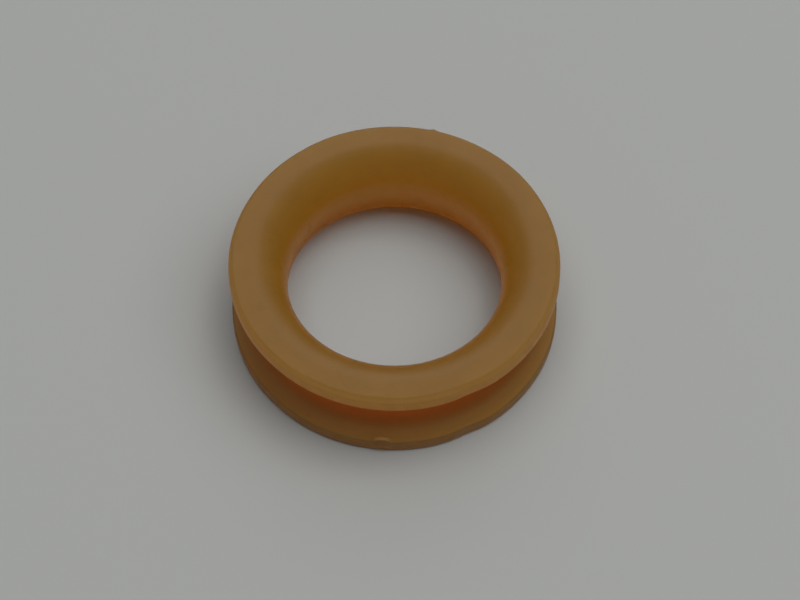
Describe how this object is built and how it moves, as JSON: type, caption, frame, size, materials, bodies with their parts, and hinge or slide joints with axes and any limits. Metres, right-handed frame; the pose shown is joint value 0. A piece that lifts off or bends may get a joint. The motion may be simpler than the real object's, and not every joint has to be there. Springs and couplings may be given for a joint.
{
  "type": "shifter bushing",
  "caption": "Soft translucent amber ring for a gear linkage: a flared bore turns on a pin, and a round groove between thin rims holds the lever's eye.",
  "frame": {"origin": "centre of the lower end face, on the axis of the bore", "axes": "+Z along the axis of the bore, from the lower end face to the upper one; the clipped gate on the lower rim faces -Y"},
  "size_m": [0.0184, 0.0185, 0.0053],
  "materials": {
    "urethane": "translucent amber polyurethane, satin as moulded"
  },
  "bodies": {
    "root": {"bushing": "urethane"}
  },
  "joints": []
}
